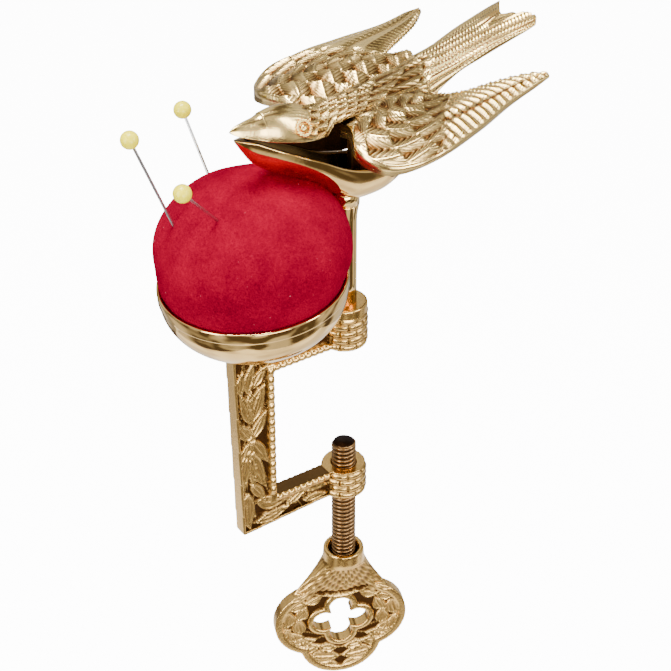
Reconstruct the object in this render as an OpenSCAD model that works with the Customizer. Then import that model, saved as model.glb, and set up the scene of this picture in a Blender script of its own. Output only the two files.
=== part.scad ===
// Sewing bird: a cast brass table clamp with a spring-closed beak and a pincushion.
// The origin is on the screw axis at the underside of the upper jaw, which rests on the table.
// +X runs from the upright towards the screw and +Z is up.

/* [Clamp frame] */
// Height between the two jaws
jaw_gap = 38; // [32:0.5:60]
// Distance from the screw axis to the outer edge of the upright
reach = 33; // [31:0.5:45]
// Width of the upright
bar_w = 11.4; // [9:0.2:13]
// Thickness of the upright and of both arms
bar_t = 4; // [3.8:0.1:5.2]
// Height of the upper arm
upper_arm_h = 10.4; // [9:0.2:11.4]
// Height of the lower arm
lower_arm_h = 8; // [6:0.5:12]
// How far the lower outer corner drops below the lower arm
corner_drop = 1; // [0:0.2:3]
// How far the upright's outer edge leans in from top to bottom
bar_lean = 1.4; // [0:0.2:2]
// Diameter of the two round bosses
boss_d = 11.4; // [10:0.2:16]
// Height of the upper boss
upper_boss_h = 11.6; // [9:0.2:16]
// Height of the lower boss
lower_boss_h = 8.1; // [6:0.1:12]

/* [Screw and handle] */
// Outer diameter of the thread
screw_d = 6.35; // [5:0.05:8]
// Distance from one thread to the next
thread_pitch = 1.27; // [0.8:0.01:1.6]
// Length of the screw
screw_l = 43; // [36:0.5:70]
// How far the screw stands above the lower boss
screw_rise = 6.5; // [2:0.5:12]
// Depth of the screw's end in the handle
socket_depth = 8; // [5:0.5:10]
// Outer diameter of the handle's socket
socket_d = 10.8; // [9:0.2:14]
// Diameter of the socket's mouth
mouth_d = 8.6; // [7:0.1:9.5]
// Turn of the handle away from the plane of the frame
handle_turn = -22; // [-180:1:180]
// Distance from the top of the socket to the middle of the handle's opening
handle_drop = 25; // [24:0.5:34]
// Thickness of the handle at its rims
handle_t = 3.8; // [3.4:0.1:6]
// Thickness of the handle between its rims
web_t = 2.8; // [2:0.1:3.2]
// Width of the handle's rims
rim_w = 2; // [1.2:0.1:2.6]
// Distance from the socket's axis to the middle of the handle
handle_shift = 1; // [0:0.1:1.5]
// Radius of the side and bottom lobes
lobe_r = 11.4; // [10:0.1:13]
// Distance from the middle to the centre of each side lobe
lobe_x = 6.9; // [5:0.1:8]
// Distance from the middle to the centre of the bottom lobe
lobe_z = 7.8; // [6:0.1:10]
// Radius of each lobe of the opening
opening_r = 3.1; // [2.6:0.1:4.2]
// Distance from the middle to the centre of each lobe of the opening
opening_x = 4.6; // [4:0.1:5.6]

/* [Post] */
// Diameter of the post
post_d = 6; // [5:0.1:8]
// Diameter of the spigot in the upper boss
spigot_d = 4.4; // [3.4:0.1:5]
// Depth of the spigot in the upper boss
spigot_l = 8; // [5:0.5:9]
// Height of the belly's flat underside above the table
bird_z = 39; // [36:0.5:60]
// Diameter of the post's flared top
flare_d = 7.2; // [6.4:0.1:10]

/* [Bird] */
// Turn of the bird about the post
bird_turn = 4; // [-20:1:20]
// Size of the bird along its length, as a multiple of 85 mm from beak to tail
bird_k = 1; // [0.95:0.01:1.2]
// Width across the wings
wing_span = 59.2; // [54:0.2:72]
// Wall of both castings
wall = 1.4; // [1:0.1:2]
// Thickness of a wing at its middle
wing_t = 2; // [1.6:0.1:3]
// Gap between the closed halves of the beak
beak_gap = 0.2; // [0.1:0.05:0.6]
// Diameter of the hinge pin
hinge_d = 2.4; // [2:0.1:3]
// Position of the hinge pin behind the post
hinge_x = 6; // [5:0.5:8]
// Height of the hinge pin above the belly's flat underside
hinge_rise = 15.5; // [14.5:0.5:16.5]
// Width of the middle lug on the hinge pin
lug_w = 3; // [2:0.1:4]
// Outer diameter of the spring
spring_d = 5.4; // [4:0.1:6]
// Diameter of the spring's wire
wire_d = 0.7; // [0.5:0.05:0.9]
// Number of turns of the spring
spring_turns = 6; // [4:1:8]
// Distance from the hinge pin to the spring's axis
spring_x = 7; // [6.6:0.2:8.6]
// Outer diameter of the belly screw's thread
belly_screw_d = 2.5; // [2:0.1:3]

/* [Pincushion] */
// Outer diameter of the cup
cup_d = 45; // [40:0.2:56]
// Wall of the cup
cup_wall = 0.8; // [0.6:0.1:1.2]
// Depth of the cup
cup_h = 16; // [13:0.5:17]
// Height of the straight band below the cup's edge
band_h = 3; // [2:0.2:4]
// Step in from the band to the bowl
band_step = 0.3; // [0.1:0.1:0.5]
// Lean of the cup away from the post
cup_lean = 4.5; // [0:0.5:8]
// Diameter of the flat under the cup
cup_seat_d = 11; // [10:0.5:14]
// How much wider the cushion's widest part is than the cup
cushion_over = 0.6; // [0:0.2:3]
// Height from the cup's edge to the widest part of the cushion
bulge_z = 8; // [5:0.5:9]
// Height from the widest part to the top of the cushion
dome_h = 17.8; // [10:0.2:18]
// Thickness of the velvet
velvet_t = 1; // [0.6:0.1:1.5]
// Diameter of the cup screw's thread
cup_screw_d = 3; // [2.4:0.1:3.4]
// Outer diameter of the cup washer
washer_d = 8.4; // [7:0.2:9]

/* [Pins] */
// Diameter of a pin
pin_d = 0.7; // [0.5:0.05:0.9]
// Length of a pin
pin_l = 36; // [30:1:38]
// Diameter of a pin's ball head
head_d = 4.2; // [3:0.1:6]

/* [Clearances] */
// Radial clearance of the screw in the lower boss
screw_fit = 0.05; // [0.02:0.01:0.1]
// Radial clearance of the hinge pin in the upper casting's lug
hinge_fit = 0.04; // [0.02:0.01:0.1]
// Radial clearance of each pin in the cushion
pin_fit = 0.05; // [0.02:0.01:0.1]
// Radial clearance of parts that are fixed in each other
seat_fit = 0.02; // [0.01:0.01:0.05]
// Space between soft parts and their neighbours
soft_gap = 0.25; // [0.15:0.05:0.4]
// Space between the cup and the post
cup_gap = 0.3; // [0.3:0.1:2]
// Side play of the lugs on the hinge pin
lug_play = 0.3; // [0.2:0.05:0.5]

/* [Hidden] */
$fn = 64;
eps = 0.01;

// Colours
BRASS = [0.83, 0.66, 0.38];
BRONZE = [0.55, 0.38, 0.2];
STEEL = [0.72, 0.72, 0.72];
VELVET = [0.78, 0.02, 0.12];
YELLOW = [0.97, 0.86, 0.2];
CARD = [0.6, 0.5, 0.38];
WADDING = [0.9, 0.87, 0.8];

// Heights of the clamp
lower_z = -jaw_gap;
screw_top = lower_z + screw_rise;
socket_top = screw_top - screw_l + socket_depth;
handle_z = socket_top - handle_drop;

// Places of the cup and cushion; heights in the cup are measured square to its seat
cup_x = -(post_d / 2 + cup_gap + cup_d / 2) + cup_h * sin(cup_lean);
seat_z = upper_arm_h + cup_seat_d / 2 * sin(cup_lean) + 0.2;
cup_edge = cup_h;
cushion_d = cup_d + cushion_over;
bowl_r = cup_d / 2 - band_step;
cup_floor = cup_wall;
washer_t = 0.8;
screw_head_h = 1.8;
base_z = cup_floor + washer_t + screw_head_h + soft_gap;
base_t = 1.2;
base_gap = 1;

// Places in the bird
hinge_z = bird_z + hinge_rise;
lug_r = hinge_d / 2 + 1.4;
outer_lug_t = 1.6;
outer_lug_y = lug_w / 2 + lug_play;
stub_d = spring_d - 2 * wire_d - 0.6;
stub_h = 2;
head_play = 0.3;
spring_axis = hinge_x + spring_x;
roof_z = bird_z + 28.2;

// ---- clamp ----

// Places its children on the cup's seat, which leans away from the bird
module on_seat() {
    translate([cup_x, 0, seat_z]) rotate([0, -cup_lean, 0]) children();
}

// The C outline in the XZ plane, from the lower outer corner round to the upper jaw
module frame_outline() {
    bottom = lower_z - lower_arm_h;
    polygon([[-reach + bar_lean, bottom - corner_drop], [0, bottom + corner_drop / 2], [0, lower_z],
             [-reach + bar_w, lower_z], [-reach + bar_w, 0], [0, 0], [0, upper_arm_h],
             [-reach, upper_arm_h]]);
}

module clamp_frame() color(BRASS) {
    difference() {
        union() {
            rotate([90, 0, 0])
                linear_extrude(bar_t, center = true) frame_outline();
            cylinder(d = boss_d, h = upper_boss_h);
            on_seat() translate([0, 0, -2]) cylinder(d = cup_seat_d, h = 2);
            translate([0, 0, lower_z - lower_boss_h])
                cylinder(d = boss_d, h = lower_boss_h);
        }
        translate([0, 0, upper_boss_h - spigot_l])
            cylinder(d = spigot_d + 2 * seat_fit, h = spigot_l + 1);
        translate([0, 0, lower_z - lower_boss_h - 1])
            cylinder(d = screw_d + 2 * screw_fit, h = lower_boss_h + 2);
        on_seat() translate([0, 0, -cup_screw_l()])
            cylinder(d = cup_screw_d + 2 * seat_fit, h = cup_screw_l() + 1);
    }
}

// Length of the cup screw's thread below the cup's floor
function cup_screw_l() = min(5, upper_arm_h - 2);

// Half of the thread's outline: V grooves with narrow flat crests, from the top down
function thread_outline(r, pitch, top, count) = [
    for (i = [0 : count - 1]) let (z = top - i * pitch)
        each [[r, z], [r, z - pitch * 0.15], [r - pitch * 0.5, z - pitch * 0.575]]
];

module clamp_screw() color(BRONZE) {
    r = screw_d / 2;
    chamfer = 0.6;
    plain_end = screw_top - screw_l;
    thread_top = screw_top - chamfer;
    count = floor((thread_top - socket_top + 2) / thread_pitch);
    thread_end = thread_top - count * thread_pitch;
    rotate_extrude()
        polygon(concat([[0, screw_top], [r - chamfer, screw_top]],
                       thread_outline(r, thread_pitch, thread_top, count),
                       [[r, thread_end], [r, plain_end], [0, plain_end]]));
}

// Outline of the handle in its own plane, about the socket's axis at the height of its opening
module handle_outline(inset) {
    neck_z = handle_drop - mouth_d / 2;
    waist = lobe_x + 3;
    for (side = [-1, 1])
        translate([side * lobe_x - handle_shift, 0]) circle(r = lobe_r - inset);
    translate([-handle_shift, -lobe_z]) circle(r = lobe_r - inset);
    polygon([[-waist - handle_shift + inset, lobe_r * 0.85], [-socket_d / 2 + inset, neck_z],
             [socket_d / 2 - inset, neck_z], [waist - handle_shift - inset, lobe_r * 0.85]]);
}

module opening_outline(grow) translate([-handle_shift, 0]) {
    for (turn = [0 : 90 : 270])
        rotate(turn) translate([opening_x, 0]) circle(r = opening_r + grow);
    square(2 * (opening_x - opening_r * 0.6), center = true);
}

module thumb_handle() color(BRASS) {
    bore_r = screw_d / 2 + screw_fit;
    translate([0, 0, handle_z]) rotate([90, 0, handle_turn]) difference() {
        union() {
            linear_extrude(web_t, center = true) handle_outline(0);
            linear_extrude(handle_t, center = true) difference() {
                handle_outline(0);
                handle_outline(rim_w);
            }
            linear_extrude(handle_t, center = true) opening_outline(rim_w * 0.7);
            rotate([-90, 0, 0]) translate([0, 0, handle_drop - socket_depth - 3])
                cylinder(d1 = socket_d - 3, d2 = socket_d, h = socket_depth + 3);
        }
        linear_extrude(handle_t + 1, center = true) opening_outline(0);
        rotate([-90, 0, 0]) translate([0, 0, handle_drop - socket_depth])
            cylinder(r = bore_r, h = socket_depth + 1);
        rotate([-90, 0, 0]) translate([0, 0, handle_drop - 3])
            cylinder(d1 = 2 * bore_r, d2 = mouth_d, h = 3 + eps);
    }
}

module bird_post() color(BRASS) {
    flare_h = 4;
    difference() {
        union() {
            translate([0, 0, upper_boss_h - spigot_l])
                cylinder(d = spigot_d, h = spigot_l);
            translate([0, 0, upper_boss_h])
                cylinder(d = post_d, h = bird_z - upper_boss_h);
            translate([0, 0, bird_z - flare_h])
                cylinder(d1 = post_d, d2 = flare_d, h = flare_h);
        }
        translate([0, 0, bird_z - belly_screw_l])
            cylinder(d = belly_screw_d + 2 * seat_fit, h = belly_screw_l + 1);
    }
}

// ---- bird ----

belly_screw_l = 6;
belly_screw_head_d = belly_screw_d + 2.4;
belly_screw_head_h = 1.6;
belly_pad_h = 3.8;

// Heights of the spring's seats above the belly's flat underside, and of the lower one's foot
spring_seat_h = 6.4;
spring_top_h = 23.5;
spring_foot_h = 2.8;
spring_foot_d = 1.6;
spring_flare_h = 2.4;
spring_seat_d = spring_d + 0.4;

module in_bird() {
    rotate([0, 0, bird_turn]) children();
}

// Half-ellipse from one side to the other, through the middle height
function arch(x, half, edge_z, mid_z, n) = [
    for (i = [0 : n]) let (a = 180 * i / n)
        [x, -half * cos(a), edge_z + (mid_z - edge_z) * sin(a)]
];

// Ring of a shell: the outer arch, then the inner arch back again
// A station is [x, half width, edge height, middle height, hollow from 0 to 1]
function ring(s, n) = let (
    t = min(wall, s[1] * 0.6),
    up = sign(s[3] - s[2]),
    inner_mid = s[2] + (s[3] - up * t - s[2]) * s[4],
    inner = arch(s[0], s[1] - t, s[2], inner_mid, n)
) concat(arch(s[0], s[1], s[2], s[3], n), [for (i = [n : -1 : 0]) inner[i]]);

// A closed shell through rings of equal length, with flat ends; flip turns its faces round
module loft(rings, flip = false) {
    m = len(rings);
    k = len(rings[0]);
    points = [for (r = rings) each r];
    sides = [for (i = [0 : m - 2], j = [0 : k - 1])
        let (a = i * k + j, b = i * k + (j + 1) % k)
            each [[a, b, b + k], [a, b + k, a + k]]];
    first = [for (j = [0 : k / 2 - 2])
        each [[j, k - 1 - j, j + 1], [j + 1, k - 1 - j, k - 2 - j]]];
    last = [for (f = first) [f[0] + (m - 1) * k, f[2] + (m - 1) * k, f[1] + (m - 1) * k]];
    faces = concat(sides, first, last);
    polyhedron(points, flip ? [for (f = faces) [f[0], f[2], f[1]]] : faces);
}

function scaled(list) = [for (s = list) [s[0] * bird_k, s[1], s[2], s[3], s[4]]];

// Belly stations, heights measured from its flat underside
belly = [[-30.4, 0.5, 26.1, 25.3, 0], [-28.6, 1.6, 25.5, 21.8, 0], [-26, 2.6, 24.6, 18.9, 0.2],
         [-21.6, 3.9, 22.2, 15.6, 0.7], [-16, 5, 19.2, 12.4, 1], [-11, 5.7, 16.6, 9.6, 1],
         [-5, 6.2, 13, 4.6, 1], [0, 6.4, 10.8, 1.4, 1], [5, 6.4, 9.4, 0.4, 1],
         [10, 6.1, 8.8, 1, 1], [15, 5, 9.4, 3.2, 1], [18.4, 3.2, 10.4, 6.6, 0.8],
         [20.4, 1.4, 11.2, 9.4, 0]];

// Back stations, heights measured from the same level
back = [[-31.9, 0.4, 28.1, 28.9, 0], [-30.4, 1.2, 27.2, 29.6, 0], [-28, 2, 26.2, 30, 0],
        [-25.4, 2.8, 25.3, 30.2, 0], [-23.4, 3.5, 24.6, 30.6, 0.2], [-20, 4.6, 23.8, 30.8, 0.5],
        [-16, 5.3, 22.9, 30.2, 0.7], [-12, 5.3, 22.2, 28.9, 1], [-8, 5.4, 21.8, 27.9, 1],
        [-3, 7, 18.5, 28, 1], [4, 7.7, 10.8, 28.5, 1], [12, 7.7, 11.5, 29.1, 1],
        [20, 6.6, 22, 29.8, 0.9], [28, 6, 26.4, 30.6, 0.4], [36, 6.4, 28.8, 31.8, 0],
        [44, 7, 30.9, 32.9, 0], [50, 7.5, 32.2, 33.7, 0], [53.4, 7.5, 33, 34.1, 0]];

// Wing edges for each station from root to tip: [x, share of half span, height]
lead = [[-9.5, 0.15, 25.5], [-11, 0.4, 25.6], [-11.2, 0.6, 24.9], [-7, 0.86, 22.6],
        [2, 1, 23.4], [16, 0.935, 24.9], [29, 0.83, 26.6], [41, 0.8, 29]];
trail = [[14, 0.15, 27.6], [16, 0.3, 27], [18, 0.36, 26.4], [20.5, 0.41, 26],
         [24, 0.48, 26.4], [29.3, 0.54, 27.3], [35.4, 0.62, 28.2], [41, 0.735, 29]];
camber = [1, 1.4, 1.8, 2, 1.8, 1.2, 0.6, 0.1];

// Distance from the middle at a share of the half span; the root stays inside the body at any span
root_share = 0.15;
root_y = 4.44;
function wing_y(share) =
    root_y + (share - root_share) / (1 - root_share) * (wing_span / 2 - root_y);

// Cross-section of a wing between its edges: a thin cambered leaf
function wing_ring(i, side) = let (
    a = [lead[i][0] * bird_k, side * wing_y(lead[i][1]), lead[i][2]],
    b = [trail[i][0] * bird_k, side * wing_y(trail[i][1]), trail[i][2]],
    steps = [0, 0.15, 0.5, 0.85, 1],
    over = [for (u = steps) let (s = sin(180 * u))
        a + (b - a) * u + [0, 0, camber[i] * s + wing_t * (0.25 + 0.25 * s)]],
    under = [for (u = steps) let (s = sin(180 * u))
        a + (b - a) * u + [0, 0, camber[i] * s - wing_t * (0.25 + 0.25 * s)]]
) concat(over, [for (j = [4 : -1 : 0]) under[j]]);

module wing(side) {
    loft([for (i = [0 : len(lead) - 1]) wing_ring(i, side)], side > 0);
}

module tail_notch() {
    depth = 5.8;
    translate([53.5 * bird_k - depth, 0, 20]) linear_extrude(20)
        polygon([[0, 0], [depth + 1, -7], [depth + 1, 7]]);
}

// Upright lug in the XZ plane round the hinge pin, from the pin to a far edge
module lug(thick, y, far_z) {
    translate([hinge_x, y - thick / 2, 0]) {
        translate([-lug_r, 0, min(hinge_z, far_z)])
            cube([2 * lug_r, thick, abs(far_z - hinge_z)]);
        translate([0, 0, hinge_z]) rotate([-90, 0, 0]) cylinder(r = lug_r, h = thick);
    }
}

module hinge_bore(r) {
    translate([hinge_x, -20, hinge_z]) rotate([-90, 0, 0]) cylinder(r = r, h = 40);
}

// The boat-shaped casting with its post pad, hinge lugs and spring seat, joined into one skin
module belly_skin() resize([0, 0, 0]) {
    translate([0, 0, bird_z]) loft([for (s = scaled(belly)) ring(s, 10)], true);
    translate([0, 0, bird_z]) cylinder(d = flare_d, h = belly_pad_h);
    for (side = [-1, 1])
        lug(outer_lug_t, side * (outer_lug_y + outer_lug_t / 2), bird_z + wall);
    translate([spring_axis, 0, bird_z]) rotate_extrude() polygon([
        [0, spring_foot_h], [spring_foot_d / 2, spring_foot_h],
        [spring_seat_d / 2, spring_foot_h + spring_flare_h], [spring_seat_d / 2, spring_seat_h],
        [stub_d / 2, spring_seat_h], [stub_d / 2, spring_seat_h + stub_h], [0, spring_seat_h + stub_h]
    ]);
}

module bird_belly() color(BRASS) in_bird() difference() {
    belly_skin();
    hinge_bore(hinge_d / 2 + seat_fit);
    translate([0, 0, bird_z - 1])
        cylinder(d = belly_screw_d + 2 * seat_fit, h = belly_pad_h + 2);
    translate([0, 0, bird_z + belly_pad_h])
        cylinder(d = belly_screw_head_d + 2 * head_play, h = belly_screw_head_h + 2);
}

// The thin curved castings of the back, joined into one skin
module back_skin() resize([0, 0, 0]) {
    difference() {
        loft([for (s = scaled(back)) ring(s, 10)]);
        tail_notch();
    }
    for (side = [-1, 1]) wing(side);
}

module bird_back() color(BRASS) in_bird() difference() {
    union() {
        translate([0, 0, bird_z + beak_gap]) back_skin();
        lug(lug_w, 0, roof_z);
        translate([spring_axis, 0, bird_z + spring_top_h])
            cylinder(d = spring_seat_d, h = roof_z - bird_z - spring_top_h);
        translate([spring_axis, 0, bird_z + spring_top_h - stub_h])
            cylinder(d = stub_d, h = stub_h + 1);
    }
    hinge_bore(hinge_d / 2 + hinge_fit);
}

module hinge_pin() color(STEEL) in_bird()
    translate([hinge_x, -(outer_lug_y + outer_lug_t), hinge_z])
        rotate([-90, 0, 0]) cylinder(d = hinge_d, h = 2 * (outer_lug_y + outer_lug_t));

// Compression spring: round wire swept along a helix
module beak_spring() color(STEEL) in_bird() {
    sides = 8;
    steps = 14;
    r = (spring_d - wire_d) / 2;
    low = bird_z + spring_seat_h + wire_d / 2 + 0.05;
    high = bird_z + spring_top_h - wire_d / 2 - 0.05;
    count = spring_turns * steps;
    points = [for (i = [0 : count]) let (
        turn = 360 * i / steps,
        centre = [r * cos(turn), r * sin(turn), low + (high - low) * i / count]
    ) for (j = [0 : sides - 1]) let (a = 360 * j / sides)
        centre + wire_d / 2 * [cos(a) * cos(turn), cos(a) * sin(turn), sin(a)]];
    walls = [for (i = [0 : count - 1], j = [0 : sides - 1])
        let (a = i * sides + j, b = i * sides + (j + 1) % sides)
            each [[a, b, b + sides], [a, b + sides, a + sides]]];
    ends = [[for (j = [sides - 1 : -1 : 0]) j], [for (j = [0 : sides - 1]) count * sides + j]];
    translate([spring_axis, 0, 0]) polyhedron(points, concat(walls, ends));
}

module belly_screw() color(STEEL) in_bird() {
    translate([0, 0, bird_z - belly_screw_l + 0.5])
        cylinder(d = belly_screw_d, h = belly_screw_l - 0.5 + belly_pad_h);
    translate([0, 0, bird_z + belly_pad_h])
        cylinder(d = belly_screw_head_d, h = belly_screw_head_h);
}

// ---- pincushion ----

// Outline of the cup's outer side, inset by a wall, from its seat up to its edge
function bowl(inset) = let (
    r = bowl_r - inset,
    seat = cup_seat_d / 2,
    top = cup_edge - band_h,
    floor_z = inset
) [for (a = [0 : 9 : 90]) [seat + (r - seat) * sin(a), top - (top - floor_z) * cos(a)]];

module pincushion_cup() color(BRASS) {
    r = cup_d / 2;
    outer = concat([[0, 0]], bowl(0), [[r, cup_edge - band_h], [r, cup_edge]]);
    inner = concat([[r - cup_wall - band_step, cup_edge]], [for (i = [10 : -1 : 0]) bowl(cup_wall)[i]],
                   [[0, cup_floor]]);
    on_seat() difference() {
        rotate_extrude($fn = 96) polygon(concat(outer, inner));
        translate([0, 0, -1]) cylinder(d = cup_screw_d + 2 * seat_fit, h = 3);
    }
}

module cup_washer() color(BRASS)
    on_seat() translate([0, 0, cup_floor]) difference() {
        cylinder(d = washer_d, h = washer_t);
        translate([0, 0, -1]) cylinder(d = cup_screw_d + 2 * seat_fit, h = washer_t + 2);
    }

module cup_screw() color(STEEL) on_seat() {
    translate([0, 0, 0.5 - cup_screw_l()])
        cylinder(d = cup_screw_d, h = cup_screw_l() - 0.5 + cup_wall + washer_t);
    translate([0, 0, cup_floor + washer_t]) difference() {
        cylinder(d = cup_screw_d + 3, h = screw_head_h);
        translate([-5, -0.4, screw_head_h - 0.8]) cube([10, 0.8, 1]);
    }
}

module cushion_base() color(CARD)
    on_seat() translate([0, 0, base_z]) cylinder(r = base_r(), h = base_t);

// Radius of the cup's inside at a height
function cup_inside(z) = let (
    top = cup_edge - band_h,
    seat = cup_seat_d / 2,
    drop = min(1, max(0, (top - z) / (top - cup_floor)))
) seat + (bowl_r - cup_wall - seat) * sqrt(1 - drop * drop);

function base_r() = cup_inside(base_z) - base_gap - velvet_t - soft_gap;

// Outline of the cushion from its underside to its top, inset by a thickness
function cushion_outline(inset) = let (
    wide = cushion_d / 2 - inset,
    neck = bowl_r - cup_wall - soft_gap - inset,
    belt = cup_edge + bulge_z,
    low = base_z + base_t + soft_gap,
    dome = dome_h - inset
) concat(
    [[0, low], [cup_inside(low) - soft_gap - inset - 0.6, low]],
    [for (t = [0.25, 0.5, 0.75]) let (z = low + t * (cup_edge - band_h - low))
        [cup_inside(z) - soft_gap - inset - 0.2, z]],
    [[neck, cup_edge - band_h], [neck, cup_edge]],
    [for (t = [0.35, 0.7]) [neck + (wide - neck) * sin(90 * t), cup_edge + bulge_z * t]],
    [for (a = [0 : 7.5 : 82.5]) [wide * cos(a), belt + dome * sin(a)]],
    [[0, belt + dome]]
);

module cushion_filling() color(WADDING) on_seat() difference() {
    rotate_extrude($fn = 96) polygon(cushion_outline(velvet_t));
    pin_holes();
}

module cushion_cover() color(VELVET) on_seat() difference() {
    difference() {
        rotate_extrude($fn = 96) polygon(cushion_outline(0));
        rotate_extrude($fn = 96) polygon(cushion_outline(velvet_t));
        translate([0, 0, base_z]) cylinder(r = base_r() + soft_gap, h = base_t + soft_gap + 0.05);
    }
    pin_holes();
}

// ---- pins ----

// Each pin: [direction about the cup's axis, rise above its seat's plane, length outside the
// cushion, place on the dome]
// The place is [direction about the cushion's axis, angle up from its widest part]
pins = [[169, 73.7, 24.5, [166.6, 42.1]],
        [200.6, 51.3, 15.6, [209, 58.6]],
        [90, 56, 15.7, [92, 49.3]]];

// Point where a pin enters the dome
function pin_entry(i) = let (p = pins[i][3], r = cushion_d / 2 * cos(p[1]))
    [r * cos(p[0]), r * sin(p[0]), cup_edge + bulge_z + dome_h * sin(p[1])];

module along_pin(i) {
    translate(pin_entry(i)) rotate([0, 90 - pins[i][1], pins[i][0]]) children();
}

module pin_shaft(i) {
    inside = pin_l - pins[i][2];
    point_h = 1.6;
    on_seat() along_pin(i) translate([0, 0, -inside]) {
        cylinder(d1 = pin_d * 0.2, d2 = pin_d, h = point_h);
        translate([0, 0, point_h]) cylinder(d = pin_d, h = pin_l - point_h);
    }
}

module pin_head(i) {
    on_seat() along_pin(i) translate([0, 0, pins[i][2]]) difference() {
        sphere(d = head_d);
        translate([0, 0, -head_d]) cylinder(d = pin_d + 2 * seat_fit, h = head_d + eps);
    }
}

module pin_holes() {
    for (i = [0 : len(pins) - 1]) {
        inside = pin_l - pins[i][2] + 0.5;
        along_pin(i) translate([0, 0, -inside]) cylinder(d = pin_d + 2 * pin_fit, h = inside + 8);
    }
}

clamp_frame();
clamp_screw();
thumb_handle();
bird_post();
belly_screw();
bird_belly();
bird_back();
hinge_pin();
beak_spring();
pincushion_cup();
cup_washer();
cup_screw();
cushion_base();
cushion_filling();
cushion_cover();
color(STEEL) pin_shaft(0);  // pin_1_shaft
color(YELLOW) pin_head(0);  // pin_1_head
color(STEEL) pin_shaft(1);  // pin_2_shaft
color(YELLOW) pin_head(1);  // pin_2_head
color(STEEL) pin_shaft(2);  // pin_3_shaft
color(YELLOW) pin_head(2);  // pin_3_head
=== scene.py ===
"""Looks of the sewing bird: a brass table clamp with a spring-closed beak and a velvet pincushion.

Shapes are worked out in millimetres and scaled to metres as each piece is made.
"""

import math

import bmesh
import bpy
import numpy as np
from mathutils import Matrix, Vector


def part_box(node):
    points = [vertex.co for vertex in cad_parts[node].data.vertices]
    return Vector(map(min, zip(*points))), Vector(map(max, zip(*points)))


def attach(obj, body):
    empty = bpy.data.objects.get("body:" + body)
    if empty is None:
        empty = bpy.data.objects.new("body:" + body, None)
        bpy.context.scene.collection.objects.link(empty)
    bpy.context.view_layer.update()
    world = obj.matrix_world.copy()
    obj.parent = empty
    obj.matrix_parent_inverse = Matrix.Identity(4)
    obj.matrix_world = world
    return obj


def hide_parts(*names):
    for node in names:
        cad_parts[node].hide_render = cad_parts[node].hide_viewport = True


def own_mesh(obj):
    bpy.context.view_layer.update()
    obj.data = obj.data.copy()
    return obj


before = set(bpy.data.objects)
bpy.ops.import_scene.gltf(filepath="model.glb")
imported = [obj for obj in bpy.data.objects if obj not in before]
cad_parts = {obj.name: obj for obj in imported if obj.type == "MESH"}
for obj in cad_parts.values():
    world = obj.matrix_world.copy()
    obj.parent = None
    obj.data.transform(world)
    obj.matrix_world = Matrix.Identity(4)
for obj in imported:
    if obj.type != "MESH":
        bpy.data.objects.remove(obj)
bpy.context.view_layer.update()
MM = 0.001


def node_box(node):
    """Lowest and highest corner of a CAD node in millimetres."""
    low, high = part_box(node)
    return np.array(low) / MM, np.array(high) / MM


# ---- sizes read from the frame ----

FRAME_LOW, FRAME_HIGH = node_box("clamp_frame")
SCREW_LOW, SCREW_HIGH = node_box("clamp_screw")
POST_LOW, POST_HIGH = node_box("bird_post")
SPRING_LOW, SPRING_HIGH = node_box("beak_spring")
_, BASE_HIGH = node_box("cushion_base")

REACH = -FRAME_LOW[0]
BOSS_R = FRAME_HIGH[1]
UPPER_BOSS_TOP = FRAME_HIGH[2]
SCREW_R = SCREW_HIGH[0]
BIRD_Z = POST_HIGH[2]
POST_R = 3.0
SPIGOT_R = 2.2
FLARE_R = POST_HIGH[1]

BAR_T = 4.0
BAR_W = 11.4
BAR_LEAN = 1.4
ARM_TOP = 10.4
LOWER_Z = -38.0
LOWER_BOSS_H = 8.1
THREAD_PITCH = 1.27
SOCKET_DEPTH = 8.0
HANDLE_TURN = math.radians(-22)
HANDLE_T = 3.8
HANDLE_DROP = 25.0
HANDLE_SHIFT = 1.0
SOCKET_TOP = SCREW_LOW[2] + SOCKET_DEPTH
HANDLE_Z = SOCKET_TOP - HANDLE_DROP

BIRD_TURN = math.radians(4)
WALL = 1.4
WING_HALF = 29.6
WING_T = 2.0
BEAK_GAP = 0.2

# Hinge and spring in the bird's own axes, with heights above the post
HINGE_X, HINGE_Z = 6.0, 15.5
LUG_R = 2.6
OUTER_LUG_Y, OUTER_LUG_HALF = 2.6, 0.8
MIDDLE_LUG_HALF = 1.5
LUG_FOOT_Z, LUG_ROOF_Z = 2.4, 27.6
SPRING_X = 13.0
SPRING_TURNS = 6
SPRING_R, WIRE_R = 2.35, 0.35

LEAN = math.radians(4.5)
CUP_R = 22.5
CUP_H = 16.0
CUP_WALL = 0.8
BAND_H = 3.0
BAND_STEP = 0.3
CUP_SEAT_R = 5.5
CUP_X = -(POST_R + 0.3 + CUP_R) + CUP_H * math.sin(LEAN)
SEAT_Z = 10.6 + CUP_SEAT_R * math.sin(LEAN)
CUSHION_R = 23.0
BULGE_Z = 8.0
DOME_H = 17.8


# ---- mesh helpers ----


def turned(points, angle):
    """Points turned about Z."""
    c, s = math.cos(angle), math.sin(angle)
    return points @ np.array([[c, s, 0], [-s, c, 0], [0, 0, 1]])


def on_seat(points):
    """Points given about the cup's own axis, placed on the arm's sloping top."""
    c, s = math.cos(LEAN), math.sin(LEAN)
    return points @ np.array([[c, 0, s], [0, 1, 0], [-s, 0, c]]) + [CUP_X, 0, SEAT_Z]


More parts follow.
